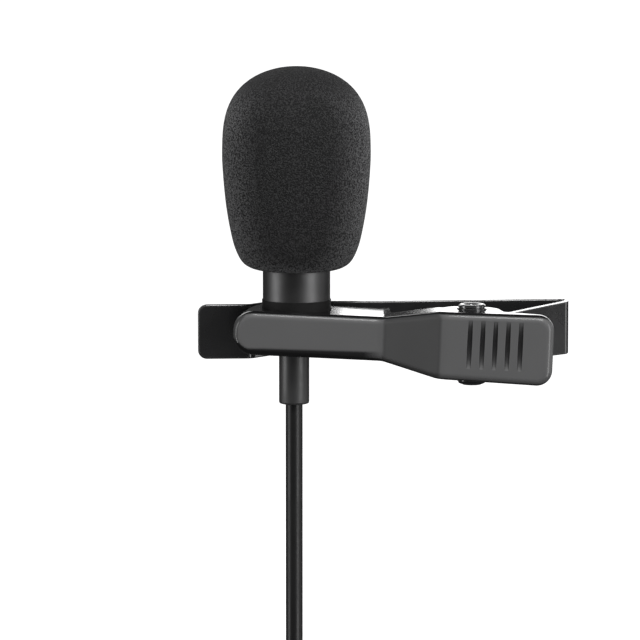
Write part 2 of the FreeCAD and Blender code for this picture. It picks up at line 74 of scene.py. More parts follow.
class Board:
    """A node tree while it is being wired."""

    def __init__(self, tree: bpy.types.NodeTree) -> None:
        """Takes the tree to wire."""
        self.tree = tree

    def add(self, kind: str, **settings: object) -> bpy.types.Node:
        """Adds a node.

        Args:
            kind: the node's type, without its ShaderNode prefix.
            settings: properties to set on it.

        Returns:
            The new node.
        """
        node = self.tree.nodes.new("ShaderNode" + kind)
        for name, value in settings.items():
            setattr(node, name, value)
        return node

    def join(self, source: bpy.types.NodeSocket, target: bpy.types.NodeSocket) -> None:
        """Links an output to an input."""
        self.tree.links.new(source, target)

    def math(self, operation: str, first: object, second: object = None) -> bpy.types.NodeSocket:
        """Adds a Math node.

        Args:
            operation: the Math node's operation.
            first: a socket or a number.
            second: a socket or a number, where the operation takes two.

        Returns:
            The node's output.
        """
        node = self.add("Math", operation=operation)
        for slot, value in enumerate((first, second)):
            if isinstance(value, bpy.types.NodeSocket):
                self.join(value, node.inputs[slot])
            elif value is not None:
                node.inputs[slot].default_value = value
        return node.outputs[0]

    def spread(self, value: bpy.types.NodeSocket, low: object, high: object) -> bpy.types.NodeSocket:
        """Maps a 0 to 1 value to low to high.

        Args:
            value: the mask.
            low: result at 0, a number or a socket.
            high: result at 1, a number or a socket.

        Returns:
            The mapped value.
        """
        node = self.add("MapRange")
        self.join(value, node.inputs["Value"])
        for name, end in (("To Min", low), ("To Max", high)):
            if isinstance(end, bpy.types.NodeSocket):
                self.join(end, node.inputs[name])
            else:
                node.inputs[name].default_value = end
        return node.outputs["Result"]

    def blend(self, mask: bpy.types.NodeSocket, first: Colour, second: Colour) -> bpy.types.NodeSocket:
        """Mixes two colours by a mask.

        Args:
            mask: 0 gives the first, 1 the second.
            first: linear colour or a socket.
            second: linear colour or a socket.

        Returns:
            The mixed colour.
        """
        node = self.add("Mix", data_type="RGBA")
        self.join(mask, node.inputs["Factor"])
        for name, colour in (("A", first), ("B", second)):
            socket = next(s for s in node.inputs if s.name == name and s.type == "RGBA")
            if isinstance(colour, bpy.types.NodeSocket):
                self.join(colour, socket)
            else:
                socket.default_value = (*colour, 1.0)
        return next(s for s in node.outputs if s.type == "RGBA")


def ramp_between(board: Board, value: bpy.types.NodeSocket, low: float, high: float) -> bpy.types.NodeSocket:
    """Smooth step from 0 at low to 1 at high.

    Args:
        board: the material's board.
        value: what is stepped.
        low: where the step starts.
        high: where it ends.

    Returns:
        The stepped value.
    """
    ramp = board.add("MapRange", interpolation_type="SMOOTHSTEP")
    ramp.inputs["From Min"].default_value = low
    ramp.inputs["From Max"].default_value = high
    board.join(value, ramp.inputs["Value"])
    return ramp.outputs["Result"]


def normal_along(board: Board, axis: str) -> bpy.types.NodeSocket:
    """One component of the surface's normal.

    Args:
        board: the material's board.
        axis: X, Y or Z.

    Returns:
        The component, -1 to 1.
    """
    shape = board.add("NewGeometry")
    split = board.add("SeparateXYZ")
    board.join(shape.outputs["Normal"], split.inputs["Vector"])
    return split.outputs[axis]


def place_along(board: Board, axis: str) -> bpy.types.NodeSocket:
    """One coordinate of a point on the piece.

    Args:
        board: the material's board.
        axis: X, Y or Z.

    Returns:
        The coordinate in metres.
    """
    place = board.add("TexCoord")
    split = board.add("SeparateXYZ")
    board.join(place.outputs["Object"], split.inputs["Vector"])
    return split.outputs[axis]


def along_clip(board: Board, start: float, end: float, first: float, last: float) -> bpy.types.NodeSocket:
    """Value that changes evenly along the clip between two places and stays level past them.

    Args:
        board: the material's board.
        start: where it starts to change, in metres from the jaw.
        end: where it stops.
        first: the value before the start.
        last: the value after the end.

    Returns:
        The value.
    """
    along = board.add("MapRange")
    for label, value in (("From Min", start), ("From Max", end), ("To Min", first), ("To Max", last)):
        along.inputs[label].default_value = value
    board.join(place_along(board, "X"), along.inputs["Value"])
    return along.outputs["Result"]


def new_group(name: str, inputs: dict[str, float], outputs: list[str]) -> tuple[Board, dict, dict]:
    """Starts a shader node group that puts out values.

    Args:
        name: the group's name.
        inputs: input names with their defaults.
        outputs: output names.

    Returns:
        The board to wire on, the input sockets by name and the output sockets by name.
    """
    tree = bpy.data.node_groups.new(name, "ShaderNodeTree")
    for label, value in inputs.items():
        socket = tree.interface.new_socket(name=label, in_out="INPUT", socket_type="NodeSocketFloat")
        socket.default_value = value
    for label in outputs:
        tree.interface.new_socket(name=label, in_out="OUTPUT", socket_type="NodeSocketFloat")
    start = tree.nodes.new("NodeGroupInput")
    end = tree.nodes.new("NodeGroupOutput")
    return Board(tree), dict(start.outputs.items()), dict(end.inputs.items())


class Effect(Enum):
    """Surface effects that several finishes share."""

    GRAIN = "micro_grain"
    SMUDGE = "handling_smudge"
    WEAR = "edge_wear"
    GROOVE_SHADE = "groove_shade"
    CELLS = "open_cells"
    WEAVE = "strap_weave"


def make_grain() -> None:
    """Fine even grain, as sprayed paint or moulded plastic has."""
    board, given, out = new_group(Effect.GRAIN.value, {"Scale": 6000.0}, ["Grain", "Drift"])
    place = board.add("TexCoord")
    fine = board.add("TexNoise")
    fine.inputs["Detail"].default_value = 3.0
    board.join(place.outputs["Object"], fine.inputs["Vector"])
    board.join(given["Scale"], fine.inputs["Scale"])
    board.join(fine.outputs["Fac"], out["Grain"])
    slow = board.add("TexNoise")
    slow.inputs["Detail"].default_value = 2.0
    board.join(place.outputs["Object"], slow.inputs["Vector"])
    board.join(board.math("MULTIPLY", given["Scale"], 0.05), slow.inputs["Scale"])
    board.join(slow.outputs["Fac"], out["Drift"])


def make_smudge() -> None:
    """Soft patches that handling leaves in the gloss."""
    board, given, out = new_group(Effect.SMUDGE.value, {"Size": 180.0, "Amount": 0.5}, ["Smudge"])
    place = board.add("TexCoord")
    patch = board.add("TexNoise")
    patch.inputs["Detail"].default_value = 5.0
    patch.inputs["Distortion"].default_value = 0.6
    board.join(place.outputs["Object"], patch.inputs["Vector"])
    board.join(given["Size"], patch.inputs["Scale"])
    patches = ramp_between(board, patch.outputs["Fac"], 0.42, 0.68)
    board.join(board.math("MULTIPLY", patches, given["Amount"]), out["Smudge"])


def make_wear() -> None:
    """Edges where the coat is rubbed thin: where a rounded normal departs from the real one."""
    board, given, out = new_group(Effect.WEAR.value, {"Radius": 0.0003, "Amount": 0.5}, ["Wear"])
    shape = board.add("NewGeometry")
    bevel = board.add("Bevel", samples=4)
    board.join(given["Radius"], bevel.inputs["Radius"])
    facing = board.add("VectorMath", operation="DOT_PRODUCT")
    board.join(bevel.outputs["Normal"], facing.inputs[0])
    board.join(shape.outputs["Normal"], facing.inputs[1])
    edge = board.math("SUBTRACT", 1.0, facing.outputs["Value"])
    place = board.add("TexCoord")
    patch = board.add("TexNoise")
    patch.inputs["Scale"].default_value = 1800.0
    patch.inputs["Detail"].default_value = 4.0
    board.join(place.outputs["Object"], patch.inputs["Vector"])
    broken = board.math("MULTIPLY", edge, board.math("MULTIPLY", patch.outputs["Fac"], 8.0))
    limited = board.math("MINIMUM", broken, 1.0)
    board.join(board.math("MULTIPLY", limited, given["Amount"]), out["Wear"])


def make_groove_shade() -> None:
    """Painted shade in narrow grooves and inner corners, where light does not reach."""
    board, given, out = new_group(Effect.GROOVE_SHADE.value, {"Reach": 0.0009}, ["Cavity"])
    shade = board.add("AmbientOcclusion", samples=8)
    board.join(given["Reach"], shade.inputs["Distance"])
    board.join(ramp_between(board, shade.outputs["AO"], 0.9, 0.5), out["Cavity"])


def make_cells() -> None:
    """Pores and walls of open-cell foam."""
    board, given, out = new_group(Effect.CELLS.value, {"Scale": 4200.0}, ["Wall", "Dust"])
    place = board.add("TexCoord")
    warp = board.add("TexNoise")
    warp.inputs["Detail"].default_value = 2.0
    board.join(place.outputs["Object"], warp.inputs["Vector"])
    board.join(given["Scale"], warp.inputs["Scale"])
    pores = board.add("TexVoronoi", feature="F1")
    board.join(place.outputs["Object"], pores.inputs["Vector"])
    board.join(given["Scale"], pores.inputs["Scale"])
    mixed = board.math("ADD", board.math("MULTIPLY", pores.outputs["Distance"], 0.75),
                       board.math("MULTIPLY", warp.outputs["Fac"], 0.45))
    board.join(ramp_between(board, mixed, 0.3, 0.95), out["Wall"])
    dust = board.add("TexNoise")
    dust.inputs["Detail"].default_value = 3.0
    board.join(place.outputs["Object"], dust.inputs["Vector"])
    board.join(board.math("MULTIPLY", given["Scale"], 0.9), dust.inputs["Scale"])
    board.join(dust.outputs["Fac"], out["Dust"])


def make_weave() -> None:
    """Crossed threads of a woven strap, from its object coordinates."""
    board, given, out = new_group(Effect.WEAVE.value, {"Threads": 3200.0}, ["Thread"])
    place = board.add("TexCoord")
    split = board.add("SeparateXYZ")
    board.join(place.outputs["Object"], split.inputs["Vector"])
    waves = []
    for axis in ("X", "Y", "Z"):
        turns = board.math("MULTIPLY", split.outputs[axis], given["Threads"])
        waves.append(board.math("SINE", turns))
    product = board.math("MULTIPLY", board.math("MULTIPLY", waves[0], waves[1]), waves[2])
    crossed = board.math("ADD", product, board.math("MULTIPLY", board.math("ADD", waves[0], waves[2]), 0.3))
    board.join(board.spread(crossed, 0.5, 1.0), out["Thread"])


def place_effect(board: Board, effect: Effect, **values: float) -> bpy.types.Node:
    """Puts a shared effect in a material.

    Args:
        board: the material's board.
        effect: which effect.
        values: the group's inputs to set.

    Returns:
        The group node.
    """
    node = board.add("Group", node_tree=bpy.data.node_groups[effect.value])
    for label, value in values.items():
        node.inputs[label].default_value = value
    return node


# ---- finishes --------------------------------------------------------------------------------------

@dataclass(frozen=True)
class Finish:
    """A hard surface: a coat or metal with grain, drift in tone, smudges and rubbed edges."""

    name: str
    colour: Colour
    roughness: float
    metallic: float = 0.0
    coat: float = 0.0
    coat_roughness: float = 0.1
    specular: float = 0.5
    grain: float = 6000.0
    relief: float = 0.000004
    drift: float = 0.12
    smudge: float = 0.12
    wear: float = 0.0
    worn: Colour = (0.3, 0.3, 0.3)

    def paint(self, board: Board, tone: bpy.types.NodeSocket) -> tuple[bpy.types.NodeSocket, object]:
        """Colour and roughness before wear and smudges: the same all over, on a plain finish.

        Args:
            board: the material's board.
            tone: the colour with its drift.

        Returns:
            The colour, and the roughness as a number or a socket.
        """
        return tone, self.roughness

    def build(self) -> bpy.types.Material:
        """Makes the material.

        Returns:
            The finished material.
        """
        material = bpy.data.materials.new(self.name)
        material.use_nodes = True
        board = Board(material.node_tree)
        shader = material.node_tree.nodes["Principled BSDF"]
        grain = place_effect(board, Effect.GRAIN, Scale=self.grain)
        smudge = place_effect(board, Effect.SMUDGE, Amount=1.0)
        darker = tuple(channel * (1 - self.drift) for channel in self.colour)
        lighter = tuple(channel * (1 + self.drift) for channel in self.colour)
        tone = board.blend(grain.outputs["Drift"], darker, lighter)
        tone, base = self.paint(board, tone)
        if self.wear > 0:
            wear = place_effect(board, Effect.WEAR, Amount=self.wear)
            tone = board.blend(wear.outputs["Wear"], tone, self.worn)
        board.join(tone, shader.inputs["Base Color"])
        dulled = board.math("ADD", board.math("MULTIPLY", smudge.outputs["Smudge"], self.smudge), base)
        gloss = board.math("ADD", dulled, board.spread(grain.outputs["Grain"], -0.03, 0.03))
        board.join(gloss, shader.inputs["Roughness"])
        bump = board.add("Bump")
        bump.inputs["Distance"].default_value = self.relief
        board.join(grain.outputs["Grain"], bump.inputs["Height"])
        board.join(bump.outputs["Normal"], shader.inputs["Normal"])
        shader.inputs["Metallic"].default_value = self.metallic
        shader.inputs["Coat Weight"].default_value = self.coat
        shader.inputs["Coat Roughness"].default_value = self.coat_roughness
        shader.inputs["Specular IOR Level"].default_value = self.specular
        return material


@dataclass(frozen=True)
class ClipPaint(Finish):
    """Satin paint on the clip's face and glossy black paint on its flanks, with painted shade on the facet,
    under the face, along its lower edge and in its grooves.

    A turn is a component of the surface's normal, and a run or an end is a stretch along the clip.
    """

    # Glossy black paint on the flanks; the same colour is also the painted shade under the face, along its
    # lower edge and in the grooves.
    flank_and_shade: Colour = (0.007, 0.007, 0.0073)
    flank_roughness: float = 0.1
    # Painted shade: the darker colour given to the facet, where the normal turns to the left.
    facet_shade: Colour = (0.039, 0.039, 0.0395)
    facet_shade_turn: Span = (-0.45, -0.3)
    top_turn: Span = (0.62, 0.8)
    # Painted shade under the face: near the jaw the black reaches further up the lower rounding than towards
    # the pad.
    under_turn: Span = (0.08, 0.62)
    under_run: Span = (2 * MM, 14 * MM)
    # Painted shade along the lower edge: how far it drops, where it runs, where it ends and how soft its edge
    # is.
    edge_drop: Span = (1.15 * MM, 1.5 * MM)
    edge_run: Span = (-4 * MM, 10.8 * MM)
    edge_end: Span = (8.2 * MM, 10.8 * MM)
    edge_blur: float = 0.2 * MM

    def paint(self, board: Board, tone: bpy.types.NodeSocket) -> tuple[bpy.types.NodeSocket, object]:
        """Paints shade on the facet, then colours the flanks black and paints shade under the face, along its
        lower edge and in the grooves.

        Args:
            board: the material's board.
            tone: the face's colour with its drift.

        Returns:
            The colour and the roughness.
        """
        # Painted shade: the face's colour is darkened where its normal turns to the left, on the facet.
        tone = board.blend(ramp_between(board, normal_along(board, "X"), *self.facet_shade_turn), self.facet_shade, tone)
        # Black paint on the flanks above and below; under the face the black reaches further up near the jaw,
        # and that part is painted shade.
        above = ramp_between(board, normal_along(board, "Z"), *self.top_turn)
        limit = along_clip(board, *self.under_run, *self.under_turn)
        below = ramp_between(board, board.math("ADD", normal_along(board, "Z"), limit), 0.0, -0.2)
        # The mask joins the black flanks with the painted shade under the face and along its lower edge.
        level = board.math("MAXIMUM", above, board.math("MAXIMUM", below, self.lower_edge_shade(board)))
        tone = board.blend(level, tone, self.flank_and_shade)
        # Painted shade: grooves and inner corners take the dark flank colour.
        groove_shade = place_effect(board, Effect.GROOVE_SHADE)
        tone = board.blend(groove_shade.outputs["Cavity"], tone, self.flank_and_shade)
        return tone, board.spread(level, self.roughness, self.flank_roughness)

    def lower_edge_shade(self, board: Board) -> bpy.types.NodeSocket:
        """Painted shade: a dark band along the lower edge of the face beside the jaw, widest at the nose.

        Args:
            board: the material's board.

        Returns:
            1 in the band, 0 above it and on the pad.
        """
        # Painted shade: the band's edge drops lower towards the pad.
        drop = along_clip(board, *self.edge_run, *self.edge_drop)
        height = board.math("ADD", place_along(board, "Z"), drop)
        shade_band = ramp_between(board, height, self.edge_blur, -self.edge_blur)
        return board.math("MULTIPLY", shade_band, along_clip(board, *self.edge_end, 0.95, 0.0))


@dataclass(frozen=True)
class FoamFinish:
    """Charcoal open-cell foam."""

    name: str = "foam"
    pit: Colour = (0.0035, 0.0035, 0.0036)
    wall: Colour = (0.024, 0.024, 0.0243)
    # Pale colour of the painted sheen at the foam's outline.
    rim_sheen: Colour = (0.125, 0.125, 0.127)
    cells: float = 5600.0
    relief: float = 0.00006
    speckle: Span = (0.38, 0.62)
    # Spans of the painted sheen: how far in from the outline it reaches, where it fades towards the top, and
    # how much brighter it is on the left than on the right.
    rim_facing: Span = (0.14, 0.7)
    top_turn: Span = (0.15, 0.85)
    left_to_right: Span = (1.02, 0.82)

    def build(self) -> bpy.types.Material:
        """Makes the material.

        Returns:
            The finished material.
        """
        material = bpy.data.materials.new(self.name)
        material.use_nodes = True
        board = Board(material.node_tree)
        shader = material.node_tree.nodes["Principled BSDF"]
        cells = place_effect(board, Effect.CELLS, Scale=self.cells)
        grain = ramp_between(board, cells.outputs["Dust"], *self.speckle)
        lit = board.math("MULTIPLY", cells.outputs["Wall"], board.spread(grain, 0.0, 2.0))
        tone = board.blend(lit, self.pit, self.wall)
        # Painted sheen: the colour turns paler towards the outline as the foam is seen, on the sides more
        # than on top, and more on the left than on the right.
        edge = board.add("LayerWeight")
        edge.inputs["Blend"].default_value = 0.5
        rise = board.add("MapRange")
        rise.inputs["From Min"].default_value, rise.inputs["From Max"].default_value = self.rim_facing
        board.join(edge.outputs["Facing"], rise.inputs["Value"])
        side_on = board.math("SUBTRACT", 1.0, ramp_between(board, normal_along(board, "Z"), *self.top_turn))
        left_light_bias = board.spread(normal_along(board, "X"), *self.left_to_right)
        painted_rim_sheen = board.math("MULTIPLY", board.math("MULTIPLY", rise.outputs["Result"], side_on), left_light_bias)
        tone = board.blend(board.math("MULTIPLY", painted_rim_sheen, board.spread(grain, 0.0, 1.22)), tone, self.rim_sheen)
        board.join(tone, shader.inputs["Base Color"])
        board.join(board.spread(cells.outputs["Dust"], 0.8, 0.98), shader.inputs["Roughness"])
        bump = board.add("Bump")
        bump.inputs["Distance"].default_value = self.relief
        height = board.math("ADD", cells.outputs["Wall"], board.math("MULTIPLY", grain, 0.7))
        board.join(height, bump.inputs["Height"])
        board.join(bump.outputs["Normal"], shader.inputs["Normal"])
        shader.inputs["Specular IOR Level"].default_value = 0.25
        shader.inputs["Sheen Weight"].default_value = 0.05
        shader.inputs["Sheen Roughness"].default_value = 0.6
        shader.inputs["Sheen Tint"].default_value = (0.5, 0.5, 0.52, 1.0)
        return material


@dataclass(frozen=True)
class StrapFinish:
    """Woven black strap."""

    name: str = "tie_strap"
    shade: Colour = (0.008, 0.008, 0.009)
    thread: Colour = (0.05, 0.05, 0.053)
    threads: float = 9000.0

    def build(self) -> bpy.types.Material:
        """Makes the material.

        Returns:
            The finished material.
        """
        material = bpy.data.materials.new(self.name)
        material.use_nodes = True
        board = Board(material.node_tree)
        shader = material.node_tree.nodes["Principled BSDF"]
        weave = place_effect(board, Effect.WEAVE, Threads=self.threads)
        board.join(board.blend(weave.outputs["Thread"], self.shade, self.thread), shader.inputs["Base Color"])
        board.join(board.spread(weave.outputs["Thread"], 0.95, 0.7), shader.inputs["Roughness"])
        bump = board.add("Bump")
        bump.inputs["Distance"].default_value = 0.00005
        board.join(weave.outputs["Thread"], bump.inputs["Height"])
        board.join(bump.outputs["Normal"], shader.inputs["Normal"])
        return material


HARD_FINISHES = (
    ClipPaint("clip_paint", (0.082, 0.082, 0.083), 0.5, coat=0.3, coat_roughness=0.08, specular=0.35,
              grain=9000.0, relief=0.000003, drift=0.02, smudge=0.05, wear=0.1, worn=(0.16, 0.16, 0.165)),
    Finish("clip_gloss", (0.013, 0.013, 0.0135), 0.24, coat=0.8, coat_roughness=0.08, smudge=0.1,
           wear=0.9, worn=(0.16, 0.16, 0.16)),
    Finish("rivet_black", (0.03, 0.03, 0.032), 0.2, metallic=0.6, coat=0.4, wear=0.4, worn=(0.3, 0.3, 0.3)),
    Finish("nylon", (0.03, 0.03, 0.03), 0.5),
    Finish("spring_steel", (0.42, 0.42, 0.43), 0.28, metallic=1.0, grain=14000.0, relief=0.000003),
    Finish("sleeve_rubber", (0.004, 0.004, 0.004), 0.65, specular=0.25, grain=12000.0, relief=0.000006),
    Finish("tube_black", (0.1, 0.1, 0.101), 0.47, metallic=1.0, grain=14000.0, relief=0.000002, drift=0.06,
           smudge=0.04, wear=0.2, worn=(0.25, 0.25, 0.25)),
    Finish("mesh_steel", (0.4, 0.4, 0.4), 0.35, metallic=1.0),
    Finish("bushing_plastic", (0.03, 0.03, 0.03), 0.5),
    Finish("relief_rubber", (0.018, 0.018, 0.0185), 0.45, specular=0.8, grain=12000.0, drift=0.15),
    Finish("cable_jacket", (0.006, 0.006, 0.0062), 0.42, specular=0.42, grain=10000.0, relief=0.000003,
           drift=0.18, smudge=0.06),
    Finish("crimp_brass", (0.75, 0.55, 0.22), 0.3, metallic=1.0),
    Finish("wire_red", (0.45, 0.03, 0.02), 0.4),
    Finish("wire_white", (0.75, 0.75, 0.72), 0.4),
    Finish("solder", (0.75, 0.76, 0.78), 0.22, metallic=1.0),
    Finish("can_aluminium", (0.78, 0.78, 0.79), 0.32, metallic=1.0, grain=14000.0),
    Finish("film", (0.7, 0.62, 0.4), 0.25, metallic=0.7),
    Finish("board_green", (0.02, 0.14, 0.05), 0.45),
    Finish("plug_metal", (0.9, 0.68, 0.32), 0.26, metallic=1.0, grain=14000.0, relief=0.000002, smudge=0.1),
    Finish("insulator_black", (0.012, 0.012, 0.012), 0.3),
)


class Wardrobe:
    """All materials by slot name, made once."""

    def __init__(self) -> None:
        """Builds the shared effects and then the materials."""
        for make in (make_grain, make_smudge, make_wear, make_groove_shade, make_cells, make_weave):
            make()
        finishes = (*HARD_FINISHES, FoamFinish(), StrapFinish())
        self.materials = {finish.name: finish.build() for finish in finishes}

    def dress(self, piece: bpy.types.Object, slot: str) -> None:
        """Gives a piece the material of a slot."""
        piece.data.materials.clear()
        piece.data.materials.append(self.materials[slot])

    def dress_nodes(self) -> None:
        """Gives each node of the frame the material that the record names."""
        for entry in frame["record"]["subparts"]:
            self.dress(frame["nodes"][entry["node"]], entry["material_slot"])


def link(piece: bpy.types.Object) -> bpy.types.Object:
    """Puts a new object in the scene."""
    bpy.context.scene.collection.objects.link(piece)
    return piece


def shade_smooth(mesh: bpy.types.Mesh) -> None:
    """Smooth shading on every face."""
    mesh.polygons.foreach_set("use_smooth", [True] * len(mesh.polygons))


def heading(turn: float) -> Vector:
    """Level unit vector at an angle in radians, from +X towards +Y."""
    return Vector((math.cos(turn), math.sin(turn), 0))


def ease(value: float) -> float:
    """Smooth step from 0 to 1."""
    value = min(max(value, 0.0), 1.0)
    return value * value * (3 - 2 * value)


# ---- foam windscreen -------------------------------------------------------------------------------

# Rounded foot of the foam as (share of the waist's radius, share of the waist's height).
FOOT = ((1.0, 1.0), (0.954, 0.613), (0.882, 0.328), (0.817, 0.175), (0.735, 0.073), (0.631, 0.022),
        (0.505, 0.0))


@dataclass
class Windscreen:
    """Egg-shaped foam with a bore for the tube."""

    around: int = 340
    dome_steps: int = 110
    foot_steps: int = 120
    side_power: float = 2.0
    rise_power: float = 3.2
    waist_share: float = 0.548
    bore_depth: float = 9.0 * MM
    bore_radius: float = 4.2 * MM
    bore_steps: int = 12
    bore_round: float = 1.0 * MM
    lip: float = 0.2 * MM
    cell: float = 0.3 * MM
    rough: float = 0.014 * MM

    def outline(self) -> list[tuple[float, float]]:
        """Half-section from the top round to the bore's inner end.

        Returns:
            (radius, height) pairs.
        """
        low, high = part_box("foam_windscreen")
        radius = (high.x - low.x) / 2 - self.rough
        bottom, top = low.z, high.z - self.rough
        waist = bottom + (top - bottom) * self.waist_share
        line = []
        for step in range(self.dome_steps):
            turn = math.pi / 2 * (1 - step / self.dome_steps)
            rise = math.sin(turn) ** (2 / self.rise_power)
            line.append((radius * math.cos(turn) ** (2 / self.side_power), waist + (top - waist) * rise))
        line += self.curve([(share * radius, bottom + level * (waist - bottom)) for share, level in FOOT])
        inner = self.bore_radius
        line += [(inner + self.lip / 2, bottom + self.lip / 10), (inner, bottom + self.lip)]
        rise = self.bore_depth / self.bore_steps
        line += [(inner, bottom + rise * step) for step in range(1, self.bore_steps)]
        line += [(inner - self.bore_round, bottom + self.bore_depth), (0.0, bottom + self.bore_depth)]
        return line

    def curve(self, points: list[tuple[float, float]]) -> list[tuple[float, float]]:
        """Smooth line through the points.

        Args:
            points: (radius, height) pairs.

        Returns:
            foot_steps pairs along a Catmull-Rom curve.
        """
        first = (points[0][0], 2 * points[0][1] - points[1][1])
        last = (2 * points[-1][0] - points[-2][0], points[-1][1])
        ring = [first, *points, last]
        spans = len(points) - 1
        line = []
        for step in range(self.foot_steps + 1):
            along = step / self.foot_steps * spans
            index = min(int(along), spans - 1)
            t = along - index
            a, b, c, d = (Vector(ring[index + k]) for k in range(4))
            point = 0.5 * (2 * b + (c - a) * t + (2 * a - 5 * b + 4 * c - d) * t * t
                           + (3 * b - a - 3 * c + d) * t * t * t)
            line.append((point.x, point.y))
        return line

    def build(self, wardrobe: Wardrobe) -> bpy.types.Object:
        """Makes the foam.

        Args:
            wardrobe: the materials.

        Returns:
            The foam piece.
        """
        low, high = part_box("foam_windscreen")
        centre = (low + high) / 2
        mesh = bmesh.new()
        rows = []
        line = self.outline()
        outside = self.dome_steps + self.foot_steps
        for index, (radius, height) in enumerate(line):
            if radius < 1e-7:
                rows.append([mesh.verts.new((centre.x, centre.y, height))])
                continue
            row = []
            for step in range(self.around):
                turn = TAU * step / self.around
                point = Vector((centre.x, centre.y, height)) + radius * heading(turn)
                if index <= outside:
                    away = (heading(turn) + Vector((0, 0, 0.4))).normalized()
                    fine = noise.noise(point / self.cell) + 0.5 * noise.noise(point / self.cell * 2.1)
                    point += away * self.rough * fine
                row.append(mesh.verts.new(point))
            rows.append(row)
        for upper, lower in zip(rows, rows[1:]):
            for step in range(self.around):
                after = (step + 1) % self.around
                ring = [upper[step % len(upper)], upper[after % len(upper)], lower[after % len(lower)],
                        lower[step % len(lower)]]
                mesh.faces.new(list(dict.fromkeys(reversed(ring))))
        data = bpy.data.meshes.new("foam_ball")
        mesh.to_mesh(data)
        mesh.free()
        shade_smooth(data)
        piece = link(bpy.data.objects.new("foam_ball", data))
        wardrobe.dress(piece, "foam")
        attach(piece, "windscreen")
        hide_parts("foam_windscreen")
        return piece


# ---- torsion spring --------------------------------------------------------------------------------

@dataclass
class TorsionSpring:
    """Wire spring round the pivot: one leg on the pad, one on the leaf."""

    pivot: tuple[float, float] = (21.4 * MM, -11.2 * MM)
    middle: float = -0.4 * MM
    wire_radius: float = 0.225 * MM
    coil_radius: float = 1.325 * MM
    pitch: float = 0.48 * MM
    leaf_angle: float = 64.0
    pad_angle: float = -35.0
    leaf_leg: tuple[float, ...] = (2.0 * MM, 4.0 * MM, 5.6 * MM)
    pad_leg: tuple[float, ...] = (7.6 * MM, 5.0 * MM, 2.5 * MM)
    turns: int = 5
    steps: int = 40

    def route(self) -> list[Vector]:
        """Centreline from the pad leg's tip to the leaf leg's tip."""
        first = math.radians(self.pad_angle + 90)
        last = math.radians(self.leaf_angle - 90) + self.turns * TAU
        span = last - first
        low = self.middle - self.pitch * span / TAU / 2
        high = self.middle + self.pitch * span / TAU / 2

        def on_coil(turn: float, z: float) -> Vector:
            """Point of the coil's centreline."""
            return Vector((*self.pivot, z)) + self.coil_radius * heading(turn)

        pad = heading(math.radians(self.pad_angle))
        leaf = heading(math.radians(self.leaf_angle))
        points = [on_coil(first, low) + pad * reach for reach in self.pad_leg]
        count = int(span / TAU * self.steps)
        for step in range(count + 1):
            turn = first + span * step / count
            points.append(on_coil(turn, low + (high - low) * step / count))
        points += [on_coil(last, high) + leaf * reach for reach in self.leaf_leg]
        return points

    def build(self, wardrobe: Wardrobe) -> bpy.types.Object:
        """Makes the spring.

        Args:
            wardrobe: the materials.

        Returns:
            The spring piece.
        """
        piece = tube_mesh("spring_wire", self.route(), self.wire_radius)
        wardrobe.dress(piece, "spring_steel")
        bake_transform(piece)
        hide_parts("torsion_spring")
        return piece


def skin(name: str, mesh: bmesh.types.BMesh, rings: list[list[bmesh.types.BMVert]]) -> bpy.types.Object:
    """Faces over rings of points, with both ends closed.

    Args:
        name: the piece's name.
        mesh: the mesh that holds the points; it is freed.
        rings: the points, ring by ring.

    Returns:
        The new object.
    """
    count = len(rings[0])
    for near, far in zip(rings, rings[1:]):
        for k in range(count):
            mesh.faces.new((near[k], near[(k + 1) % count], far[(k + 1) % count], far[k]))
    mesh.faces.new(list(reversed(rings[0])))
    mesh.faces.new(rings[-1])
    bmesh.ops.recalc_face_normals(mesh, faces=mesh.faces)
    data = bpy.data.meshes.new(name)
    mesh.to_mesh(data)
    mesh.free()
    return link(bpy.data.objects.new(name, data))


def tube_mesh(name: str, points: list[Vector], radius: float, sides: int = 16) -> bpy.types.Object:
    """Round wire along points, with closed ends.

    Args:
        name: the piece's name.
        points: centreline.
        radius: the wire's radius.
        sides: faces round the wire.

    Returns:
        The new object.
    """
    mesh = bmesh.new()
    side = Vector((0, 0, 1))
    rings = []
    for index, point in enumerate(points):
        ahead = (points[min(index + 1, len(points) - 1)] - points[max(index - 1, 0)]).normalized()
        across = ahead.cross(side).normalized()
        rise = across.cross(ahead).normalized()
        around = [heading(TAU * k / sides) * radius for k in range(sides)]
        rings.append([mesh.verts.new(point + across * spot.x + rise * spot.y) for spot in around])
    piece = skin(name, mesh, rings)
    shade_smooth(piece.data)
    return piece


# ---- lead ------------------------------------------------------------------------------------------

# Route before the coil as (X, Z), and the heights of the tail's points, in millimetres.
RUN = ((-0.3, -8.65), (-0.3, -39.0), (-0.3, -44.0), (2.2, -48.33), (6.53, -50.83))
TAIL = (-73.83, -83.0, -92.83)


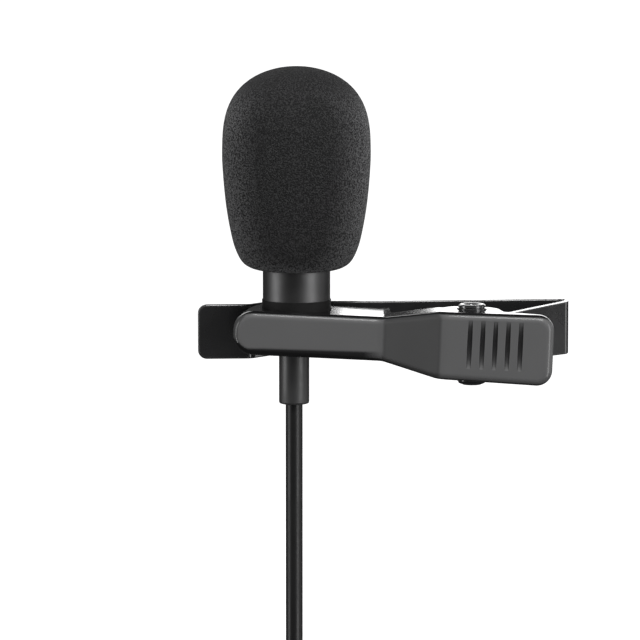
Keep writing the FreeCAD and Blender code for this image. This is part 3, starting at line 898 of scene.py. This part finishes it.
@dataclass
class Lead:
    """The soft lead: straight down from its relief, a neat hanging coil, and a tail to the plug."""

    radius: float = 1.05 * MM
    length: float = 1.5
    depth: float = -5.05 * MM
    pitch: float = 2.1 * MM
    layers: int = 5
    pancakes: int = 4
    inner: float = 7.0 * MM
    centre: tuple[float, float] = (9.2 * MM, -66.23 * MM)
    crossover: float = 0.2
    last_turn: float = 0.25
    steps: int = 16

    def route(self) -> list[Vector]:
        """Control points of the lead's one spline."""
        points = [Vector((x * MM, self.depth, z * MM)) for x, z in RUN]
        points += self.turns()
        side = self.centre[0] + self.inner + self.pitch * (self.layers - 1)
        return points + [Vector((side, self.depth, height * MM)) for height in TAIL]

    def turns(self) -> list[Vector]:
        """Control points of the coil: flat spirals side by side, wound in and out by turns."""
        swell = 1 / math.cos(math.pi / self.steps) ** 0.5
        total = self.layers * self.pancakes + self.last_turn
        count = int(total * self.steps)
        points = []
        for step in range(1, count + 1):
            turn = step / self.steps
            cake = min(int(turn / self.layers), self.pancakes - 1)
            done = turn / self.layers - cake
            share = min(done, 1.0)
            inward = share if cake % 2 == 0 else 1 - share
            radius = (self.inner + self.pitch * (self.layers - 1) * (1 - inward)) * swell
            leaving = ease((done - 1) / self.crossover + 0.5) if cake < self.pancakes - 1 else 0.0
            arriving = ease(done / self.crossover + 0.5) - 1 if cake else 0.0
            column = cake + leaving + arriving - (self.pancakes - 1) / 2
            angle = TAU * turn
            points.append(Vector((self.centre[0] + radius * math.sin(angle), self.depth + column * self.pitch,
                                  self.centre[1] + radius * math.cos(angle))))
        return points

    def build(self, wardrobe: Wardrobe) -> bpy.types.Object:
        """Makes the lead.

        Args:
            wardrobe: the materials.

        Returns:
            The lead's curve.
        """
        curve = bpy.data.curves.new("lead", "CURVE")
        curve.dimensions = "3D"
        points = self.route()
        spline = curve.splines.new("NURBS")
        spline.points.add(len(points) - 1)
        for knot, point in zip(spline.points, points):
            knot.co = (*point, 1.0)
        spline.order_u = 3
        spline.use_endpoint_u = True
        spline.resolution_u = 6
        curve.bevel_depth = self.radius
        curve.bevel_resolution = 8
        curve.use_fill_caps = True
        piece = link(bpy.data.objects.new("lead", curve))
        wardrobe.dress(piece, "cable_jacket")
        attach(piece, "microphone")
        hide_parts("cable", "cable_coil", "cable_tail")
        return piece


@dataclass
class Strap:
    """Woven strap round the coil's bundle, its end lapped over."""

    angle: float = 40.0
    width: float = 3.0 * MM
    thick: float = 0.35 * MM
    corner: float = 1.3 * MM
    slack: float = 0.08 * MM
    soft_edge: float = 0.1 * MM
    lap_start: float = 0.7
    lap_rise: float = 0.15
    lap_end: float = 0.3
    steps: int = 8

    def build(self, lead: Lead, wardrobe: Wardrobe) -> bpy.types.Object:
        """Makes the strap.

        Args:
            lead: the lead that it ties.
            wardrobe: the materials.

        Returns:
            The strap piece.
        """
        outer = lead.inner + lead.pitch * (lead.layers - 1)
        middle = (lead.inner + outer) / 2
        half_r = (outer - lead.inner) / 2 + lead.radius + self.slack
        half_y = lead.pitch * lead.pancakes / 2 + self.slack
        turn = math.radians(self.angle)
        out = Vector((math.sin(turn), 0, math.cos(turn)))
        along = Vector((math.cos(turn), 0, -math.sin(turn)))
        deep = Vector((0, 1, 0))
        centre = Vector((lead.centre[0], lead.depth, lead.centre[1])) + out * middle
        path = self.loop(half_r, half_y)
        mesh = bmesh.new()
        rings = []
        for index, (r, y, lift) in enumerate(path):
            before, after = path[max(index - 1, 0)], path[min(index + 1, len(path) - 1)]
            tangent = Vector((after[0] - before[0], after[1] - before[1])).normalized()
            normal = Vector((tangent.y, -tangent.x))
            ring = []
            for across, up in ((-0.5, 0), (0.5, 0), (0.5, 1), (-0.5, 1)):
                reach = lift + up * self.thick
                flat = Vector((r, y)) + normal * reach
                spot = centre + out * flat.x + deep * flat.y + along * across * self.width
                ring.append(mesh.verts.new(spot))
            rings.append(ring)
        piece = skin("lead_strap", mesh, rings)
        edge = piece.modifiers.new("soft_edge", "BEVEL")
        edge.width = self.soft_edge
        edge.segments = 2
        edge.limit_method = "ANGLE"
        wardrobe.dress(piece, "tie_strap")
        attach(piece, "microphone")
        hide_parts("cable_tie")
        return piece

    def loop(self, half_r: float, half_y: float) -> list[tuple[float, float, float]]:
        """Rounded rectangle with a lapped end.

        Args:
            half_r: half its radial size.
            half_y: half its depth.

        Returns:
            (radial, depth, lift) rows, in order round the bundle.
        """
        corners = [(1, -1, -90), (1, 1, 0), (-1, 1, 90), (-1, -1, 180), (1, -1, 270)]
        lap = 1.05 * self.thick
        rows = [(0.0, -half_y, 0.0)]
        total = len(corners) * (self.steps + 1)
        for number, (side_r, side_y, start) in enumerate(corners):
            for step in range(self.steps + 1):
                turn = math.radians(start + 90 * step / self.steps)
                r = side_r * (half_r - self.corner) + self.corner * math.cos(turn)
                y = side_y * (half_y - self.corner) + self.corner * math.sin(turn)
                done = (number * (self.steps + 1) + step) / total
                rows.append((r, y, lap * ease((done - self.lap_start) / self.lap_rise)))
        rows.append((half_r, half_y * self.lap_end, lap))
        return rows


# ---- studio ----------------------------------------------------------------------------------------

@dataclass(frozen=True)
class SoftBox:
    """A soft light that faces the microphone.

    Azimuth is in degrees round from the front, positive to the right, elevation in degrees above the
    horizon, reach, width and height in metres, and power in watts.
    """

    name: str
    azimuth: float
    elevation: float
    reach: float
    width: float
    height: float
    power: float


SOFT_BOXES = (
    SoftBox("left_box", azimuth=-75, elevation=-2, reach=0.5, width=0.13, height=0.5, power=1.45),
    SoftBox("right_box", azimuth=52, elevation=-2, reach=0.5, width=0.16, height=0.5, power=1.75),
    SoftBox("right_rim", azimuth=100, elevation=0, reach=0.5, width=0.1, height=0.4, power=0.25),
    SoftBox("key", azimuth=15, elevation=55, reach=0.7, width=0.3, height=0.3, power=4.6),
    SoftBox("rear_glow", azimuth=162.3, elevation=7.5, reach=0.34, width=0.2, height=0.1, power=0.17),
    SoftBox("rear_fill", azimuth=200, elevation=25, reach=0.7, width=0.3, height=0.3, power=0.5),
)


@dataclass
class Studio:
    """Pale floor, soft lights and the camera."""

    elevation: float = 7.0
    distance: float = 0.6
    aim: tuple[float, float, float] = (2.89 * MM, -5.05 * MM, 1.70 * MM)
    span: float = 78.8 * MM
    sensor: float = 36.0
    floor_level: float = -0.131

    def camera(self) -> None:
        """Places the camera in front, a little above."""
        data = bpy.data.cameras.new("camera")
        data.sensor_width = self.sensor
        data.lens = self.sensor * self.distance / self.span
        data.clip_start = 0.01
        data.clip_end = 20.0
        camera = link(bpy.data.objects.new("camera", data))
        rise = math.radians(self.elevation)
        camera.location = Vector(self.aim) + Vector((0, -math.cos(rise), math.sin(rise))) * self.distance
        camera.rotation_euler = (math.pi / 2 - rise, 0, 0)
        bpy.context.scene.camera = camera

    def floor(self) -> None:
        """Lays a plain pale floor below the hanging plug."""
        mesh = bmesh.new()
        bmesh.ops.create_grid(mesh, x_segments=1, y_segments=1, size=6.0)
        data = bpy.data.meshes.new("floor")
        mesh.to_mesh(data)
        mesh.free()
        floor = link(bpy.data.objects.new("floor", data))
        floor.location.z = self.floor_level
        material = bpy.data.materials.new("floor_white")
        material.use_nodes = True
        shader = material.node_tree.nodes["Principled BSDF"]
        shader.inputs["Base Color"].default_value = (0.9, 0.9, 0.9, 1)
        shader.inputs["Roughness"].default_value = 0.9
        shader.inputs["Emission Color"].default_value = (1, 1, 1, 1)
        shader.inputs["Emission Strength"].default_value = 0.9
        data.materials.append(material)
        floor.visible_glossy = False
        floor.visible_diffuse = False

    def world(self) -> None:
        """White to the camera, a dim even room to the object."""
        world = bpy.data.worlds.new("studio")
        bpy.context.scene.world = world
        world.use_nodes = True
        board = Board(world.node_tree)
        shader = world.node_tree.nodes["Background"]
        path = board.add("LightPath")
        indirect = board.spread(path.outputs["Is Diffuse Ray"], 0.06, 0.25)
        level = board.spread(path.outputs["Is Camera Ray"], indirect, 1.05)
        board.join(level, shader.inputs["Strength"])
        shader.inputs["Color"].default_value = (1, 1, 1, 1)

    def light(self, box: SoftBox) -> None:
        """Adds a soft box.

        Args:
            box: which one.
        """
        data = bpy.data.lights.new(box.name, "AREA")
        data.shape = "RECTANGLE"
        data.size, data.size_y = box.width, box.height
        data.energy = box.power
        lamp = link(bpy.data.objects.new(box.name, data))
        round_by, up_by = math.radians(box.azimuth), math.radians(box.elevation)
        level = math.cos(up_by)
        away = Vector((math.sin(round_by) * level, -math.cos(round_by) * level, math.sin(up_by)))
        lamp.location = Vector(self.aim) + away * box.reach
        lamp.rotation_euler = away.to_track_quat("Z", "Y").to_euler()
        lamp.visible_camera = False

    def build(self) -> None:
        """Sets the whole studio."""
        bpy.context.scene.view_settings.view_transform = "Standard"
        self.camera()
        self.floor()
        self.world()
        for box in SOFT_BOXES:
            self.light(box)


def main() -> None:
    """Builds the studio and every piece in order, and reports each."""
    logging.basicConfig(level=logging.INFO, format="%(message)s")
    Studio().build()
    wardrobe = Wardrobe()
    wardrobe.dress_nodes()
    lead = Lead()
    cord = lead.build(wardrobe)
    strap = Strap().build(lead, wardrobe)
    foam = Windscreen().build(wardrobe)
    spring = TorsionSpring().build(wardrobe)
    for piece in (cord, strap, foam, spring):
        LOG.info("made %s", piece.name)


if __name__ == "__main__":
    main()
